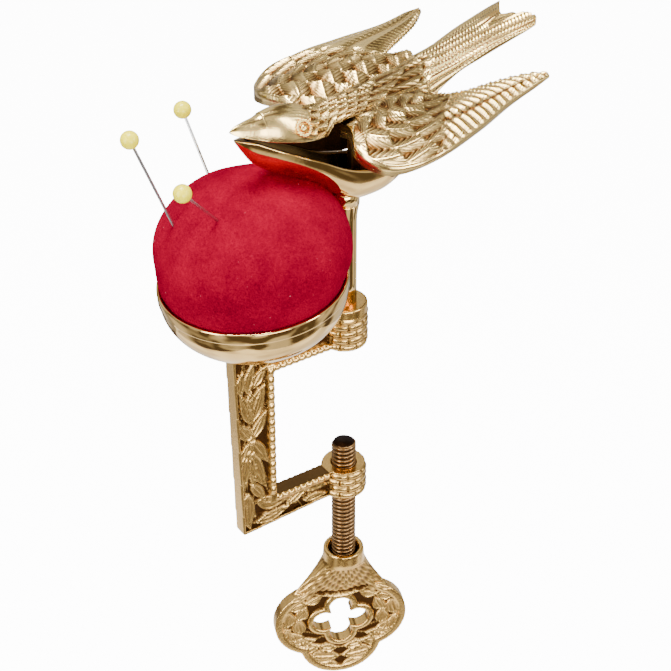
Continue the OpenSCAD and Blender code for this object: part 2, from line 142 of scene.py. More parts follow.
def spline(rows, count, positions=None):
    """Catmull-Rom curve through rows of numbers, at count even steps or at positions from 0 to 1."""
    rows = np.asarray(rows, float)
    t = np.linspace(0, 1, count) if positions is None else np.asarray(positions)
    t = t * (len(rows) - 1)
    i = np.clip(t.astype(int), 0, len(rows) - 2)
    f = (t - i)[:, None]
    p1, p2 = rows[i], rows[i + 1]
    p0 = rows[np.maximum(i - 1, 0)]
    p3 = rows[np.minimum(i + 2, len(rows) - 1)]
    return 0.5 * (2 * p1 + (p2 - p0) * f + (2 * p0 - 5 * p1 + 4 * p2 - p3) * f**2
                  + (3 * p1 - p0 - 3 * p2 + p3) * f**3)


def smoothstep(x, low, high):
    """Smooth change from 0 at low to 1 at high."""
    t = np.clip((x - low) / (high - low), 0, 1)
    return t * t * (3 - 2 * t)


def bump(x, width):
    """Rounded ridge of height 1 at x = 0."""
    return np.exp(-((x / width) ** 2))


def wrapped_grid(rings, around):
    """Faces of a tube of rings, each with the same number of points around."""
    i, j = np.meshgrid(np.arange(rings - 1), np.arange(around), indexing="ij")
    k = (j + 1) % around
    return np.stack([i * around + j, i * around + k, (i + 1) * around + k, (i + 1) * around + j],
                    axis=-1).reshape(-1, 4).tolist()


def closed_grid(rings, around):
    """Faces of a tube of rings with a fan at each end, about the two points that follow the rings."""
    faces = wrapped_grid(rings, around)
    last = (rings - 1) * around
    for j in range(around):
        k = (j + 1) % around
        faces.append([k, j, rings * around])
        faces.append([last + j, last + k, rings * around + 1])
    return faces


def tube(rings):
    """Closed solid from an array of rings, each with the same number of points."""
    points = np.concatenate([rings.reshape(-1, 3), [rings[0].mean(0)], [rings[-1].mean(0)]])
    return points, closed_grid(*rings.shape[:2])


def shell(outer, inner):
    """Closed shell from two arrays of open rows: each ring is an outer row and an inner row."""
    rings = np.concatenate([outer, inner[:, ::-1]], axis=1)
    m, k = rings.shape[:2]
    half = k // 2
    faces = wrapped_grid(m, k)
    for start, flip in ((0, False), ((m - 1) * k, True)):
        for j in range(half - 1):
            face = [start + j, start + k - 1 - j, start + k - 2 - j, start + j + 1]
            faces.append(face[::-1] if flip else face)
    return rings.reshape(-1, 3), faces


def lathe(profile, segments=128):
    """Solid of revolution about Z from a profile of [radius, height] that starts and ends on the axis."""
    profile = np.asarray(profile, float)
    angles = np.arange(segments) * 2 * np.pi / segments
    body = profile[1:-1]
    rings = np.stack([body[:, None, 0] * np.cos(angles), body[:, None, 0] * np.sin(angles),
                      np.repeat(body[:, 1:2], segments, 1)], axis=-1)
    points = np.concatenate([rings.reshape(-1, 3), [[0, 0, profile[0, 1]]], [[0, 0, profile[-1, 1]]]])
    return points, closed_grid(*rings.shape[:2])


def joined(*solids):
    """Several solids as one list of points and faces."""
    points, faces, start = [], [], 0
    for p, f in solids:
        points.append(np.asarray(p, float))
        faces += [[v + start for v in face] for face in f]
        start += len(p)
    return np.concatenate(points), faces


def ball(centre, radius, stretch=(1, 1, 1), rows=10):
    """Round bead of radius radius, stretched along each axis."""
    a = np.linspace(0, np.pi, rows)
    points, faces = lathe(np.stack([np.sin(a), -np.cos(a)], axis=-1) * radius, 2 * rows)
    return points * stretch + centre, faces


def node_solid(node):
    """A copy of a CAD node's shape, in millimetres."""
    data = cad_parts[node].data
    points = np.zeros(len(data.vertices) * 3)
    data.vertices.foreach_get("co", points)
    return points.reshape(-1, 3) / MM, [list(p.vertices) for p in data.polygons]


def raw_mesh(points, faces):
    """A mesh in millimetres with its doubled points merged and its faces turned outward."""
    mesh = bpy.data.meshes.new("shape")
    mesh.from_pydata(np.asarray(points).tolist(), [], faces)
    work = bmesh.new()
    work.from_mesh(mesh)
    bmesh.ops.remove_doubles(work, verts=work.verts, dist=1e-5)
    bmesh.ops.recalc_face_normals(work, faces=work.faces)
    work.to_mesh(mesh)
    work.free()
    mesh.update()
    return mesh


def cast(solid, voxel, rounds):
    """One skin round a solid, with its edges rounded as a casting's are: points, faces and normals."""
    thing = bpy.data.objects.new("casting", raw_mesh(*solid))
    bpy.context.scene.collection.objects.link(thing)
    skin = thing.modifiers.new("skin", "REMESH")
    skin.mode = "VOXEL"
    skin.voxel_size = voxel
    soft = thing.modifiers.new("soft", "SMOOTH")
    soft.factor = 0.5
    soft.iterations = rounds
    mesh = bpy.data.meshes.new_from_object(
        thing.evaluated_get(bpy.context.evaluated_depsgraph_get()))
    points = np.zeros(len(mesh.vertices) * 3)
    normals = np.zeros(len(mesh.vertices) * 3)
    mesh.vertices.foreach_get("co", points)
    mesh.vertex_normals.foreach_get("vector", normals)
    faces = [list(p.vertices) for p in mesh.polygons]
    bpy.data.objects.remove(thing)
    bpy.data.meshes.remove(mesh)
    return points.reshape(-1, 3), faces, normals.reshape(-1, 3)


def piece(name, solid, material, body, replaced=(), shade_and_patina=None):
    """A named object from points in millimetres, riding on a body."""
    points, faces = solid
    mesh = bpy.data.meshes.new(name)
    mesh.from_pydata((np.asarray(points) * MM).tolist(), [], faces)
    # The stored value darkens the metal: painted shade in hollows, insides and under parts, with some
    # patina
    if shade_and_patina is not None:
        layer = mesh.attributes.new("shade_and_patina", "FLOAT", "POINT")
        layer.data.foreach_set("value", np.asarray(shade_and_patina, np.float32))
    work = bmesh.new()
    work.from_mesh(mesh)
    bmesh.ops.recalc_face_normals(work, faces=work.faces)
    work.to_mesh(mesh)
    work.free()
    mesh.polygons.foreach_set("use_smooth", [True] * len(mesh.polygons))
    mesh.materials.append(material)
    mesh.update()
    thing = bpy.data.objects.new(name, mesh)
    bpy.context.scene.collection.objects.link(thing)
    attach(thing, body)
    if replaced:
        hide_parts(*replaced)
    return thing


# ---- materials ----


class Nodes:
    """Short names for building one material's node tree."""

    def __init__(self, name):
        self.material = bpy.data.materials.new(name)
        self.material.use_nodes = True
        self.tree = self.material.node_tree
        self.shader = self.tree.nodes["Principled BSDF"]

    def add(self, kind, **values):
        """A new node with its inputs or its own properties set."""
        node = self.tree.nodes.new(kind)
        for key, value in values.items():
            if key in node.inputs:
                node.inputs[key].default_value = value
            else:
                setattr(node, key, value)
        return node

    def link(self, source, target):
        self.tree.links.new(source, target)

    def set(self, **values):
        """Values on the shader's own sockets, with _ for each space in a name."""
        for key, value in values.items():
            self.shader.inputs[key.replace("_", " ")].default_value = value

    def noise(self, scale, detail=4.0, roughness=0.6):
        """Noise in the object's own space, with scale in lumps per metre."""
        place = self.add("ShaderNodeTexCoord")
        node = self.add("ShaderNodeTexNoise", Scale=scale, Detail=detail, Roughness=roughness)
        self.link(place.outputs["Object"], node.inputs["Vector"])
        return node.outputs["Fac"]

    def ramp(self, source, stops):
        """Colours that follow a value, from stops of (place, colour)."""
        node = self.add("ShaderNodeValToRGB")
        node.color_ramp.elements.remove(node.color_ramp.elements[-1])
        for i, (place, colour) in enumerate(stops):
            element = node.color_ramp.elements[0] if i == 0 else node.color_ramp.elements.new(place)
            element.position = place
            element.color = (*colour, 1) if len(colour) == 3 else colour
        self.link(source, node.inputs["Fac"])
        return node.outputs["Color"]

    def mix(self, factor, a, b):
        """Blend of two colours, each a tuple or an output."""
        node = self.add("ShaderNodeMix", data_type="RGBA")
        self.link(factor, node.inputs["Factor"])
        for socket, value in ((node.inputs[6], a), (node.inputs[7], b)):
            if isinstance(value, tuple):
                socket.default_value = (*value, 1)
            else:
                self.link(value, socket)
        return node.outputs[2]

    def bumped(self, source, distance, strength=1.0):
        """Bump the surface by a value, with distance in metres."""
        node = self.add("ShaderNodeBump", Strength=strength, Distance=distance)
        self.link(source, node.inputs["Height"])
        self.link(node.outputs["Normal"], self.shader.inputs["Normal"])


def level(low, high):
    """Two-stop ramp of greys."""
    return [(0.0, (low,) * 3), (1.0, (high,) * 3)]


def metal(name, colour, dark, rough, rough_dark, grain, grain_depth, spread=0.08):
    """Metal with its colour darkened by painted shade and patina where the piece's stored darkening value
    is high.
    """
    n = Nodes(name)
    n.set(Metallic=1.0)
    shade_and_patina = n.add("ShaderNodeAttribute", attribute_name="shade_and_patina").outputs["Fac"]
    cloud = n.noise(180.0)
    pale = tuple(min(1.0, c * (1 + spread)) for c in colour)
    deep = tuple(c * (1 - spread) for c in colour)
    base = n.ramp(cloud, [(0.35, deep), (0.65, pale)])
    # Painted shade with some patina: the colour goes towards dark where the stored value is high
    edge = n.ramp(shade_and_patina, [(0.15, (0, 0, 0)), (0.9, (1, 1, 1))])
    n.link(n.mix(edge, base, dark), n.shader.inputs["Base Color"])
    n.link(n.ramp(shade_and_patina, level(rough, rough_dark)), n.shader.inputs["Roughness"])
    n.bumped(n.noise(grain), grain_depth)
    return n.material


def velvet_cloth():
    """Crimson velvet: a fine nap that scatters light at its edges, with a little lint."""
    n = Nodes("velvet")
    cloud = n.noise(70.0, 5.0)
    nap = n.noise(1500.0, 6.0, 0.8)
    shade = n.ramp(cloud, [(0.35, (0.12, 0.0001, 0.008)), (0.62, (0.33, 0.0003, 0.020))])
    fine = n.ramp(nap, [(0.3, (0.07, 0.0001, 0.005)), (0.7, (0.40, 0.0004, 0.028))])
    blend = n.add("ShaderNodeMix", data_type="RGBA", blend_type="MIX")
    blend.inputs["Factor"].default_value = 0.45
    n.link(shade, blend.inputs[6])
    n.link(fine, blend.inputs[7])
    lint = n.ramp(n.noise(1500.0, 2.0, 0.4), [(0.775, (0, 0, 0)), (0.79, (0.25, 0.25, 0.25))])
    n.link(n.mix(lint, blend.outputs[2], (0.95, 0.55, 0.55)), n.shader.inputs["Base Color"])
    n.set(Roughness=0.95, Specular_IOR_Level=0.0, Sheen_Weight=0.12,
          Sheen_Roughness=0.35, Sheen_Tint=(1.0, 0.02, 0.10, 1))
    n.bumped(nap, 0.0004, 0.9)
    return n.material


def plain(name, colour, rough, metallic=0.0, grain=2000.0, depth=0.00002, coat=0.0):
    """A simple surface with a little mottling and grain."""
    n = Nodes(name)
    mottle = n.noise(300.0)
    dark = tuple(c * 0.88 for c in colour)
    n.link(n.ramp(mottle, [(0.35, dark), (0.65, colour)]), n.shader.inputs["Base Color"])
    n.set(Metallic=metallic, Roughness=rough, Coat_Weight=coat)
    n.bumped(n.noise(grain), depth)
    return n.material


# Dark colours for painted shade with some patina in hollows and insides; the bronze one is painted shade in
# the screw's grooves
BRASS, PATINA_AND_SHADE = (0.85, 0.52, 0.155), (0.07, 0.028, 0.007)
PALE_BRASS, PALE_PATINA_AND_SHADE = (0.97, 0.67, 0.25), (0.10, 0.04, 0.009)
BRIGHT_BRASS = (0.90, 0.58, 0.20)
BRONZE, BRONZE_SHADE = (0.40, 0.225, 0.09), (0.025, 0.01, 0.004)
cast_brass = metal("cast_brass", BRASS, PATINA_AND_SHADE, 0.22, 0.55, 1400.0, 0.00004)
feather_brass = metal("feather_brass", PALE_BRASS, PALE_PATINA_AND_SHADE, 0.18, 0.42, 1600.0, 0.00003)
polished_brass = metal("polished_brass", BRIGHT_BRASS, PATINA_AND_SHADE, 0.07, 0.3, 500.0, 0.000012)
bronze = metal("bronze_screw", BRONZE, BRONZE_SHADE, 0.26, 0.5, 1200.0, 0.00003)
steel = plain("steel", (0.72, 0.72, 0.72), 0.25, 1.0)
yellow = plain("pin_plastic", (0.98, 0.84, 0.0), 0.35, 0.0, 400.0, 0.00001, 0.1)
card = plain("card", (0.55, 0.44, 0.3), 0.9)
wadding = plain("stuffing", (0.86, 0.82, 0.74), 1.0, 0.0, 1500.0, 0.0003)
velvet = velvet_cloth()

NODE_MATERIALS = {
    "clamp_frame": cast_brass, "thumb_handle": cast_brass, "bird_back": feather_brass,
    "bird_belly": polished_brass, "bird_post": polished_brass, "pincushion_cup": polished_brass,
    "cup_washer": polished_brass, "clamp_screw": bronze, "belly_screw": steel,
    "hinge_pin": steel, "beak_spring": steel, "cup_screw": steel, "cushion_base": card,
    "cushion_filling": wadding, "cushion_cover": velvet,
}
for number in (1, 2, 3):
    NODE_MATERIALS[f"pin_{number}_shaft"] = steel
    NODE_MATERIALS[f"pin_{number}_head"] = yellow
for node_name, node_material in NODE_MATERIALS.items():
    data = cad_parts[node_name].data
    data.materials.clear()
    data.materials.append(node_material)
    data.polygons.foreach_set("use_smooth", [True] * len(data.polygons))


# ---- clamp frame ----


def leaf(x, z, base, tip, width, bend=0.0):
    """Height from 0 to 1 of a leaf with a raised edge and rib, and 0 outside it."""
    base, tip = np.array(base), np.array(tip)
    run = tip - base
    length = np.hypot(*run)
    run = run / length
    along = ((x - base[0]) * run[0] + (z - base[1]) * run[1]) / length
    across = -(x - base[0]) * run[1] + (z - base[1]) * run[0]
    inside = np.clip(along, 0, 1)
    across = across - bend * 4 * inside * (1 - inside)
    half = width / 2 * np.sin(np.pi * inside**0.8)
    depth = half - np.abs(across)
    raised = np.maximum(bump(depth - 0.15, 0.24), 0.85 * bump(across, 0.2))
    veins = 0.5 * bump(np.abs(across) - 0.5 * half, 0.16) * (half > 0.9)
    return smoothstep(depth, -0.2, 0.1) * (0.45 + 0.55 * np.maximum(raised, veins))


def relief(x, z, leaves):
    """The highest of several leaves at each point."""
    height = np.zeros_like(x)
    for values in leaves:
        height = np.maximum(height, leaf(x, z, *values))
    return height


# Leaves on each side of the clamp: [base, tip, width, bend]
CLAMP_LEAVES = [
    [(-28.2, -13.2), (-24.2, -2.6), 4.6, 0.6],
    [(-28.9, -13), (-31.2, -3.6), 3.2, -0.5],
    [(-31, -3.8), (-30.2, 3.2), 2.4, 0.3],
    [(-27.4, -3), (-23.6, 2.4), 3, 0.3],
    [(-29.2, -4), (-27, 5), 2.6, 0.3],
    [(-28.6, -9), (-28.2, -3.2), 1.8, 0],
    [(-28.3, -18.2), (-31.9, -12.2), 3.2, 0.2],
    [(-28.3, -18.2), (-24, -10.6), 3, -0.2],
    [(-28.3, -18.6), (-23.9, -26.8), 3.2, 0.2],
    [(-28.5, -18.6), (-32, -26), 2.8, -0.2],
    [(-29.2, -21.4), (-31.4, -34.2), 3.2, -0.4],
    [(-28.2, -22), (-24.4, -34.6), 3.8, -0.6],
    [(-28.6, -23), (-28.2, -33.4), 2.6, 0.2],
    [(-29, -32), (-25, -38.6), 2.8, 0.4],
    [(-29.8, -34.4), (-29.6, -45.8), 4.4, -0.6],
    [(-27.4, -38), (-18, -40.8), 4, -0.8],
    [(-28, -44.6), (-17.6, -43.2), 3, -0.5],
    [(-18.6, -43.2), (-12.2, -40.2), 3, 0.5],
    [(-13.4, -40.6), (-6.2, -41.6), 2.8, 0.4],
    [(-13.6, -43.8), (-6.2, -44.4), 2.2, 0],
    [(-22, 4), (-14, 5.6), 3.8, 0.5],
    [(-14, 5.6), (-6.4, 4.6), 3.4, 0.4],
    [(-24, 7.4), (-15, 8.6), 2.4, -0.3],
]
FLOWER = (-28.3, -18.4)
RELIEF_DEPTH = 1.05


def bead_row(start, end, pitch, stretch):
    """Beads between two points of the inner edge, on both sides of the plate."""
    start, end = np.array(start), np.array(end)
    count = max(2, round(np.hypot(*(end - start)) / pitch) + 1)
    beads = []
    for t in np.linspace(0, 1, count):
        x, z = start + (end - start) * t
        for side in (-1, 1):
            beads.append(ball((x, side * (BAR_T / 2 - 0.15), z), 1.05, stretch, 8))
    return beads


def basket(angle, z):
    """Brick-like weave round a boss, from 0 in its joints to 1 on its strands."""
    row_h = 1.95
    bricks = 8
    row = np.floor(z / row_h)
    u = angle / (2 * np.pi) * bricks + 0.5 * (row % 2)
    du = np.abs((u % 1) - 0.5) * 2
    dv = np.abs((z / row_h) % 1 - 0.5) * 2
    return np.sqrt(np.clip(1 - du**6, 0, 1)) * np.sqrt(np.clip(1 - dv**2.5, 0, 1))


def leaf_field(x, y, z, normals, inner_x):
    """Where the leaves stand: both flat sides, inside a narrow border and clear of the beads."""
    side = smoothstep(np.abs(normals[:, 1]), 0.6, 0.9) * smoothstep(BAR_T / 2 + 0.35 - np.abs(y), -0.1, 0.1)
    off_beads = smoothstep(inner_x - 0.9 - x, 0, 0.4)
    lower = smoothstep(LOWER_Z - 2.1 - z, 0, 0.4)
    upper = smoothstep(z - 2, 0, 0.4)
    panel = np.maximum(off_beads, np.maximum(lower, upper)) * (np.hypot(x, y) > BOSS_R + 0.2)
    # The upright's outer edge leans in on its way down
    outer_x = -REACH + BAR_LEAN * (ARM_TOP - z) / (ARM_TOP - FRAME_LOW[2])
    border = smoothstep(x - outer_x, 0.5, 0.9)
    return side * panel * border, side


def boss_weave(x, y, z, normals):
    """Height of the weave round both bosses, and where it holds."""
    radius = np.hypot(x, y)
    on_boss = smoothstep(radius, BOSS_R - 0.5, BOSS_R - 0.25) * smoothstep(np.abs(normals[:, 2]), 0.7, 0.4)
    upper_boss = (z > 0.2) & (z < UPPER_BOSS_TOP - 2.6)
    lower_boss = (z < LOWER_Z) & (z > LOWER_Z - LOWER_BOSS_H)
    weave = basket(np.arctan2(y, x), np.where(z > 0, z, z - LOWER_Z + LOWER_BOSS_H))
    return weave, on_boss * (upper_boss | lower_boss) * smoothstep(BOSS_R + 0.7 - radius, 0, 0.2)


def clamp():
    """The C-shaped casting with its beads, leaves and woven bosses."""
    inset = 0.95
    inner_x = -REACH + BAR_W - inset
    arm_start, arm_end = inner_x + 1.8, -BOSS_R - 0.6
    solids = [node_solid("clamp_frame")]
    solids += bead_row((inner_x, 0.2), (inner_x, LOWER_Z + 2.2), 2.5, (0.95, 0.8, 1.3))
    solids += bead_row((arm_start, inset), (arm_end, inset), 1.9, (1, 0.9, 1))
    solids += bead_row((arm_start, LOWER_Z - inset), (arm_end, LOWER_Z - inset), 1.8, (0.9, 0.9, 0.95))
    points, faces, normals = cast(joined(*solids), 0.25, 3)
    x, y, z = points.T
    field, side = leaf_field(x, y, z, normals, inner_x)
    heights = relief(x, z, CLAMP_LEAVES)
    flower = np.hypot(x - FLOWER[0], z - FLOWER[1])
    heights = np.maximum(heights, bump(flower - 0.9, 0.35) + 0.7 * bump(flower, 0.4))
    weave, woven = boss_weave(x, y, z, normals)
    shift = field * (heights - 1) * RELIEF_DEPTH + woven * (weave - 0.75) * 0.85
    points = points + normals * shift[:, None]
    # Painted shade with some patina in the low parts of the leaves and the joints of the weave
    shade_and_patina = np.clip(field * (0.85 - heights) * 1.5 + woven * (1 - weave) * 1.2, 0, 1)
    # Painted shade between the beads and on top of the lower arm, under the upper arm
    shade_near_beads = bump(np.minimum(np.abs(x - inner_x + 1.2), np.abs(z - LOWER_Z + 2)), 0.5) * side
    shade_and_patina = np.maximum(shade_and_patina, 0.4 * shade_near_beads)
    shade_on_arm_top = smoothstep(normals[:, 2], 0.7, 0.95) * (z < LOWER_Z + 0.5) * (x < -BOSS_R)
    shade_and_patina = np.maximum(shade_and_patina, 0.8 * shade_on_arm_top)
    return piece("clamp_casting", (points, faces), cast_brass, "frame",
                 ["clamp_frame"], shade_and_patina)


# ---- screw and handle ----


def helix_screw():
    """Rod with a right-handed helical thread down to its plain end in the handle."""
    around, per_turn = 72, 12
    top, low = SCREW_HIGH[2], SCREW_LOW[2]
    thread_low = SOCKET_TOP - 1.6
    groove_depth = 0.62
    end_shade = 0.95
    z = np.arange(low, top, THREAD_PITCH / per_turn)
    angle = np.arange(around) * 2 * np.pi / around
    zz, aa = np.meshgrid(z, angle, indexing="ij")
    phase = (zz / THREAD_PITCH - aa / (2 * np.pi)) % 1
    groove = np.abs(phase - 0.5) * 2
    depth = groove_depth * (1 - smoothstep(groove, 0.05, 0.75))
    fade = smoothstep(zz, thread_low - 0.6, thread_low + 0.3) * smoothstep(top - zz, 0, 0.5)
    chamfer = 0.5 * smoothstep(zz, top - 0.5, top)
    radius = SCREW_R - 0.02 - depth * fade - chamfer
    rings = np.stack([radius * np.cos(aa), radius * np.sin(aa), zz], axis=-1)
    points, faces = tube(rings)
    # Painted shade in the thread's grooves and on the screw's top end, inside the clamp's jaw
    shade_and_patina = np.concatenate([(depth / groove_depth * fade).ravel() ** 0.7, [0, end_shade]])
    top_ring = len(z) - 1
    shade_and_patina[top_ring * around:(top_ring + 1) * around] = end_shade
    return piece("helix_screw", (points, faces), bronze, "screw", ["clamp_screw"], shade_and_patina)


# Leaves on each face of the handle, in its plane about the middle of the opening
HANDLE_LEAVES = [
    [(-9.6, 7.2), (-5, 9.4), 2.6, 0.3],
    [(-14.4, 5.6), (-9.4, 7.6), 2.6, 0.3],
    [(-12, 1.6), (-9.6, 6), 2.4, -0.3],
    [(-15.6, -0.6), (-14.4, 5.4), 3, -0.5],
    [(-11, -3.4), (-11.8, 2), 2.6, 0.3],
    [(-15.2, -7.4), (-15.4, -1), 3, -0.4],
    [(-10, -7.6), (-14, -2.6), 2.4, 0.3],
    [(-14.8, -8.8), (-6.8, -6.4), 2.6, 0.5],
    [(-11.4, -11), (-5.4, -8.8), 2.2, 0.4],
    [(-6, -9.6), (-1, -10.4), 2.2, -0.3],
    [(-8.4, -12.4), (-0.4, -13.6), 3.6, -0.4],
    [(-0.6, -17.2), (-7.6, -15.6), 2.4, 0.4],
]
LEAF_WIDENING = 1.45
# Circles that make the handle's outline and its opening, in the same plane
LOBE_R = 11.4
LOBES = [(-6.9, 0.0), (6.9, 0.0), (0.0, -7.8), (0.0, 6.0)]
OPENING_R = 3.1
OPENING_LOBES = [(-4.6, 0.0), (4.6, 0.0), (0.0, -4.6), (0.0, 4.6)]


def handle_neck():
    """Socket round the screw's end that broadens and thins into the handle's shoulders."""
    bore = SCREW_R + 0.08
    # Each ring: [depth below the socket's top, half width, half thickness]
    rings = [[SOCKET_DEPTH + 0.2, bore, bore], [3, bore, bore], [0.2, 4.3, 4.3], [0, 4.5, 4.5],
             [0, 5.1, 5.1], [0.4, 5.4, 5.4], [3.4, 5.6, 5.4], [4.2, 5.9, 5.0], [7, 7.4, 4.3],
             [10, 9.4, 3.2], [13, 11.6, 2.2], [15, 13, 1.6]]
    around = 64
    turn = np.arange(around) * 2 * np.pi / around
    rows = []
    for down, wide, thick in rings:
        drift = -HANDLE_SHIFT * min(1.0, max(0.0, down - 3.4) / 10) * (wide > bore + 0.1)
        rows.append(np.stack([wide * np.cos(turn) + drift, thick * np.sin(turn),
                              np.full(around, SOCKET_TOP - down)], axis=-1))
    points, faces = tube(np.array(rows))
    return turned(points, HANDLE_TURN), faces


def handle():
    """Quatrefoil handle with borders, leaves and a fan of ribs under its socket."""
    points, faces, normals = cast(joined(node_solid("thumb_handle"), handle_neck()), 0.25, 9)
    local = turned(points, -HANDLE_TURN)
    flat = turned(normals, -HANDLE_TURN)
    u = local[:, 0] + HANDLE_SHIFT
    w = local[:, 2] - HANDLE_Z
    face = smoothstep(np.abs(flat[:, 1]), 0.7, 0.95)
    web = face * smoothstep(HANDLE_T / 2 - 0.2 - np.abs(local[:, 1]), -0.1, 0.1) * smoothstep(-w, -13, -12)
    leaves = HANDLE_LEAVES + [[(-a[0], a[1]), (-b[0], b[1]), c, -d] for a, b, c, d in HANDLE_LEAVES]
    heights = relief(u, w, [[a, b, c * LEAF_WIDENING, d] for a, b, c, d in leaves])
    # Smooth raised borders run round the plate and round its opening
    from_edge = np.max([LOBE_R - np.hypot(u - x, w - z) for x, z in LOBES], axis=0)
    from_opening = np.min([np.hypot(u - x, w - z) - OPENING_R for x, z in OPENING_LOBES], axis=0)
    flat_border = np.maximum(smoothstep(from_edge, 1.9, 1.6), smoothstep(from_opening, 1.7, 1.4))
    heights = np.maximum(heights, flat_border)
    # Ribs fan down from the socket between the shoulders
    fan = 0.5 + 0.5 * np.cos(np.arctan2(u, 30 - w) * 46) * np.cos(w * 2.2 + np.abs(u))
    ribs = smoothstep(w, 8.5, 9.5) * smoothstep(HANDLE_DROP - 4.6 - w, 0, 0.6)
    ribs = ribs * smoothstep(np.abs(flat[:, 1]), 0.5, 0.8)
    # Painted shade in the low parts of the relief and between the ribs
    shade_and_patina = np.clip(web * (0.85 - heights) * 1.1 + ribs * fan * 0.8, 0, 1)
    # Painted shade in the socket's mouth and the bore round the screw
    mouth = smoothstep(6.6 - np.hypot(local[:, 0], local[:, 1]), 1.9, 2.6) * (w > HANDLE_DROP - 5)
    shade_and_patina = np.maximum(shade_and_patina, mouth * smoothstep(HANDLE_DROP - 0.3 - w, 0, 1.2))
    shift = web * (heights * 0.85 - 0.4) - ribs * fan * 0.45
    points = points + normals * shift[:, None]
    return piece("handle_casting", (points, faces), cast_brass, "handle",
                 ["thumb_handle"], shade_and_patina)


# ---- post, cup and cushion ----


def post():
    """Polished post on its spigot, flared under the bird."""
    waist = spline([[POST_R, BIRD_Z - 5], [POST_R + 0.05, BIRD_Z - 3.4], [POST_R + 0.3, BIRD_Z - 1.6],
                    [FLARE_R, BIRD_Z]], 14)
    profile = [[0, POST_LOW[2]], [SPIGOT_R, POST_LOW[2]], [SPIGOT_R, UPPER_BOSS_TOP],
               [POST_R, UPPER_BOSS_TOP], [POST_R, UPPER_BOSS_TOP + 6]] + waist.tolist() + [[0, BIRD_Z]]
    return piece("post_turning", lathe(profile), polished_brass, "frame", ["bird_post"])


def cup():
    """Spun cup: a flat seat, a round bowl, a crease, and a straight band with a rolled edge."""
    bowl_r = CUP_R - BAND_STEP
    top = CUP_H - BAND_H
    a = np.linspace(0, np.pi / 2, 28)

    def bowl(inset):
        """Outline of the bowl from its seat to its crease, inset by a wall."""
        return np.stack([CUP_SEAT_R + (bowl_r - inset - CUP_SEAT_R) * np.sin(a),
                         top - (top - inset) * np.cos(a)], axis=-1).tolist()

    roll = 0.4
    edge = [[CUP_R - roll + roll * math.cos(t), CUP_H - roll + roll * math.sin(t)]
            for t in np.linspace(0, math.pi, 9)]
    crease = [[bowl_r + 0.02, top + 0.12], [CUP_R - 0.05, top + 0.3], [CUP_R, top + 0.5]]
    profile = [[0, 0]] + bowl(0) + crease + edge + bowl(CUP_WALL)[::-1] + [[0, CUP_WALL]]
    points, faces = lathe(profile, 192)
    return piece("spun_cup", (on_seat(points), faces), polished_brass, "frame",
                 ["pincushion_cup"])


def cushion():
    """Stuffed velvet: domed, bulging past the cup's edge, drawn in where the band holds it."""
    rows, lower_rows, around = 90, 46, 180
    neck = CUP_R - BAND_STEP - CUP_WALL - 0.3
    belt = CUP_H + BULGE_Z
    low = BASE_HIGH[2] - SEAT_Z + 0.6
    lower = spline([[0.5, low], [neck * 0.72, low + 0.4], [neck * 0.93, low + 4], [neck, CUP_H - 2.4],
                    [neck + 0.15, CUP_H - 0.3], [neck + 0.85, CUP_H + 1.5],
                    [CUSHION_R - 0.25, CUP_H + BULGE_Z * 0.6], [CUSHION_R, belt]], lower_rows)
    a = np.linspace(0, np.pi / 2, rows - lower_rows + 1)[1:]
    upper = np.stack([CUSHION_R * np.cos(a), belt + DOME_H * np.sin(a)], axis=-1)
    profile = np.concatenate([lower, upper[:-1]])
    angles = np.arange(around) * 2 * np.pi / around
    r, z = profile[:, :1], profile[:, 1:]
    # Slight unevenness of the stuffing, fading out inside the cup
    free = smoothstep(z, CUP_H + 0.5, CUP_H + 6)
    lumps = (0.16 * np.sin(3 * angles + 0.6) * np.sin(z / 5 + 1)
             + 0.12 * np.sin(5 * angles + 2.1) * np.cos(z / 4)
             + 0.07 * np.sin(9 * angles + z / 3))
    pull = 0.10 * np.cos(26 * angles) * bump(z - CUP_H - 1.2, 1.8)
    radius = r + (lumps * free * np.minimum(1, r / 8)) + pull
    rings = np.stack([radius * np.cos(angles), radius * np.sin(angles), np.repeat(z, around, 1)], axis=-1)
    points, faces = tube(rings)
    points[-1] = [0, 0, belt + DOME_H]
    # The stuffing sits a little towards the post, which dents it
    points[:, 0] += 1.0 * smoothstep(points[:, 2], CUP_H - 0.5, belt)
    points = on_seat(points)
    from_post = np.hypot(points[:, 0], points[:, 1])
    out = np.maximum(1, (POST_R + 0.3) / np.maximum(from_post, 0.1))
    points[:, :2] *= out[:, None]
    thing = piece("velvet_cushion", (points, faces), velvet, "frame",
                  ["cushion_cover", "cushion_filling"])
    return thing


# ---- bird ----

# Stations along each casting: [x, half width, edge height, middle height], heights above the post
BELLY = [[-30.6, 0.5, 26.1, 25.5], [-28.6, 1.6, 25.5, 22.4], [-26, 2.6, 24.6, 18.9],
         [-21.6, 3.9, 22.2, 15.6], [-16, 5, 19.2, 12.4], [-11, 5.7, 16.6, 9.4],
         [-5, 6.2, 13, 4.6], [0, 6.4, 10.8, 1.2], [5, 6.4, 9.4, 0.5],
         [10, 6.1, 8.8, 1], [15, 5, 9.4, 3.2], [18.4, 3.2, 10.4, 6.6], [20.4, 1.4, 11.2, 9.4]]
BACK = [[-31.9, 0.4, 28.1, 28.9], [-30.4, 1.2, 27.2, 29.6], [-28, 2, 26.2, 30],
        [-25.4, 2.8, 25.3, 30.2], [-23.4, 3.6, 24.6, 30.6], [-20, 4.7, 23.8, 30.9],
        [-16, 5.3, 22.9, 30.3], [-12, 5.2, 22.2, 28.9], [-8, 5.4, 21.8, 27.9],
        [-3, 7, 18.5, 28], [4, 7.7, 10.8, 28.5], [12, 7.7, 11.5, 29.1],
        [20, 6.6, 22, 29.8], [28, 6, 26.4, 30.6], [36, 6.4, 28.8, 31.8],
        [44, 7, 30.9, 32.9], [50, 7.5, 32.2, 33.7], [53.4, 7.5, 33, 34.1]]
